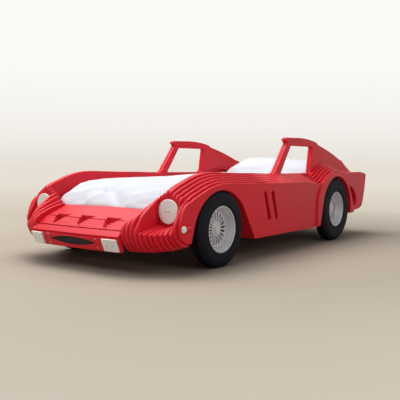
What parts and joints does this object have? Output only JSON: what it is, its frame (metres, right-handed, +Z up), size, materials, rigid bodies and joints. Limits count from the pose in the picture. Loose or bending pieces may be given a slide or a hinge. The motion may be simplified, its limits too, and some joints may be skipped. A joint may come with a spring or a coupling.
{
  "type": "car bed for children",
  "caption": "Child's bed shaped as a low sports car: layered red side boards, sloping nose, fixed wheels, slatted base with mattress, quilt and pillow.",
  "frame": {"origin": "middle of the bed's outline on the floor", "axes": "+Z up, nose of the car towards -Y, width along X"},
  "size_m": [1.227, 2.5204, 0.72],
  "materials": {
    "red_paint": "satin",
    "lamp_white": "satin",
    "grille_black": "matte",
    "screw_steel": "satin",
    "tyre_black": "matte",
    "rim_silver": "satin",
    "base_wood": "matte",
    "bed_linen": "matte"
  },
  "bodies": {
    "bed": {"nose_rib_1_left": "red_paint", "nose_rib_1_right": "red_paint", "nose_rib_2_left": "red_paint", "nose_rib_2_right": "red_paint", "nose_rib_3_left": "red_paint", "nose_rib_3_right": "red_paint", "nose_rib_4_left": "red_paint", "nose_rib_4_right": "red_paint", "nose_rib_5_left": "red_paint", "nose_rib_5_right": "red_paint", "nose_rib_6_left": "red_paint", "nose_rib_6_right": "red_paint", "cabin_panel_inner_left": "red_paint", "cabin_panel_inner_right": "red_paint", "cabin_panel_outer_left": "red_paint", "cabin_panel_outer_right": "red_paint", "fender_rib_1_left": "red_paint", "fender_rib_1_right": "red_paint", "fender_rib_2_left": "red_paint", "fender_rib_2_right": "red_paint", "fender_rib_3_left": "red_paint", "fender_rib_3_right": "red_paint", "fender_rib_4_left": "red_paint", "fender_rib_4_right": "red_paint", "fender_rib_5_left": "red_paint", "fender_rib_5_right": "red_paint", "wheel_flare_left": "red_paint", "wheel_flare_right": "red_paint", "indicator_pod_left": "red_paint", "indicator_pod_right": "red_paint", "headlamp_left": "lamp_white", "headlamp_right": "lamp_white", "corner_lamp_left": "lamp_white", "corner_lamp_right": "lamp_white", "hood_rear_board": "red_paint", "hood_scoop_board": "red_paint", "hood_lip": "red_paint", "fascia_board": "red_paint", "grille_panel": "grille_black", "front_screws": "screw_steel", "indicator_lamps": "lamp_white", "tyre_front_left": "tyre_black", "tyre_front_right": "tyre_black", "rim_front_left": "rim_silver", "rim_front_right": "rim_silver", "tyre_rear_left": "tyre_black", "tyre_rear_right": "tyre_black", "rim_rear_left": "rim_silver", "rim_rear_right": "rim_silver", "hub_caps": "rim_silver", "wheel_mounts": "base_wood", "foot_board": "red_paint", "head_board": "red_paint", "tail_boards": "red_paint", "side_rails": "base_wood", "slats": "base_wood", "rail_bolts": "screw_steel"},
    "mattress": {"mattress": "bed_linen"},
    "quilt": {"quilt": "bed_linen"},
    "pillow": {"pillow": "bed_linen"}
  },
  "joints": [
    {"name": "mattress_lift", "type": "slide", "parent": "bed", "child": "mattress", "axis": [0, 0, 1], "range_m": [0, 0.4]},
    {"name": "quilt_lift", "type": "slide", "parent": "mattress", "child": "quilt", "axis": [0, 0, 1], "range_m": [0, 0.3]},
    {"name": "pillow_lift", "type": "slide", "parent": "mattress", "child": "pillow", "axis": [0, 0, 1], "range_m": [0, 0.3]}
  ]
}
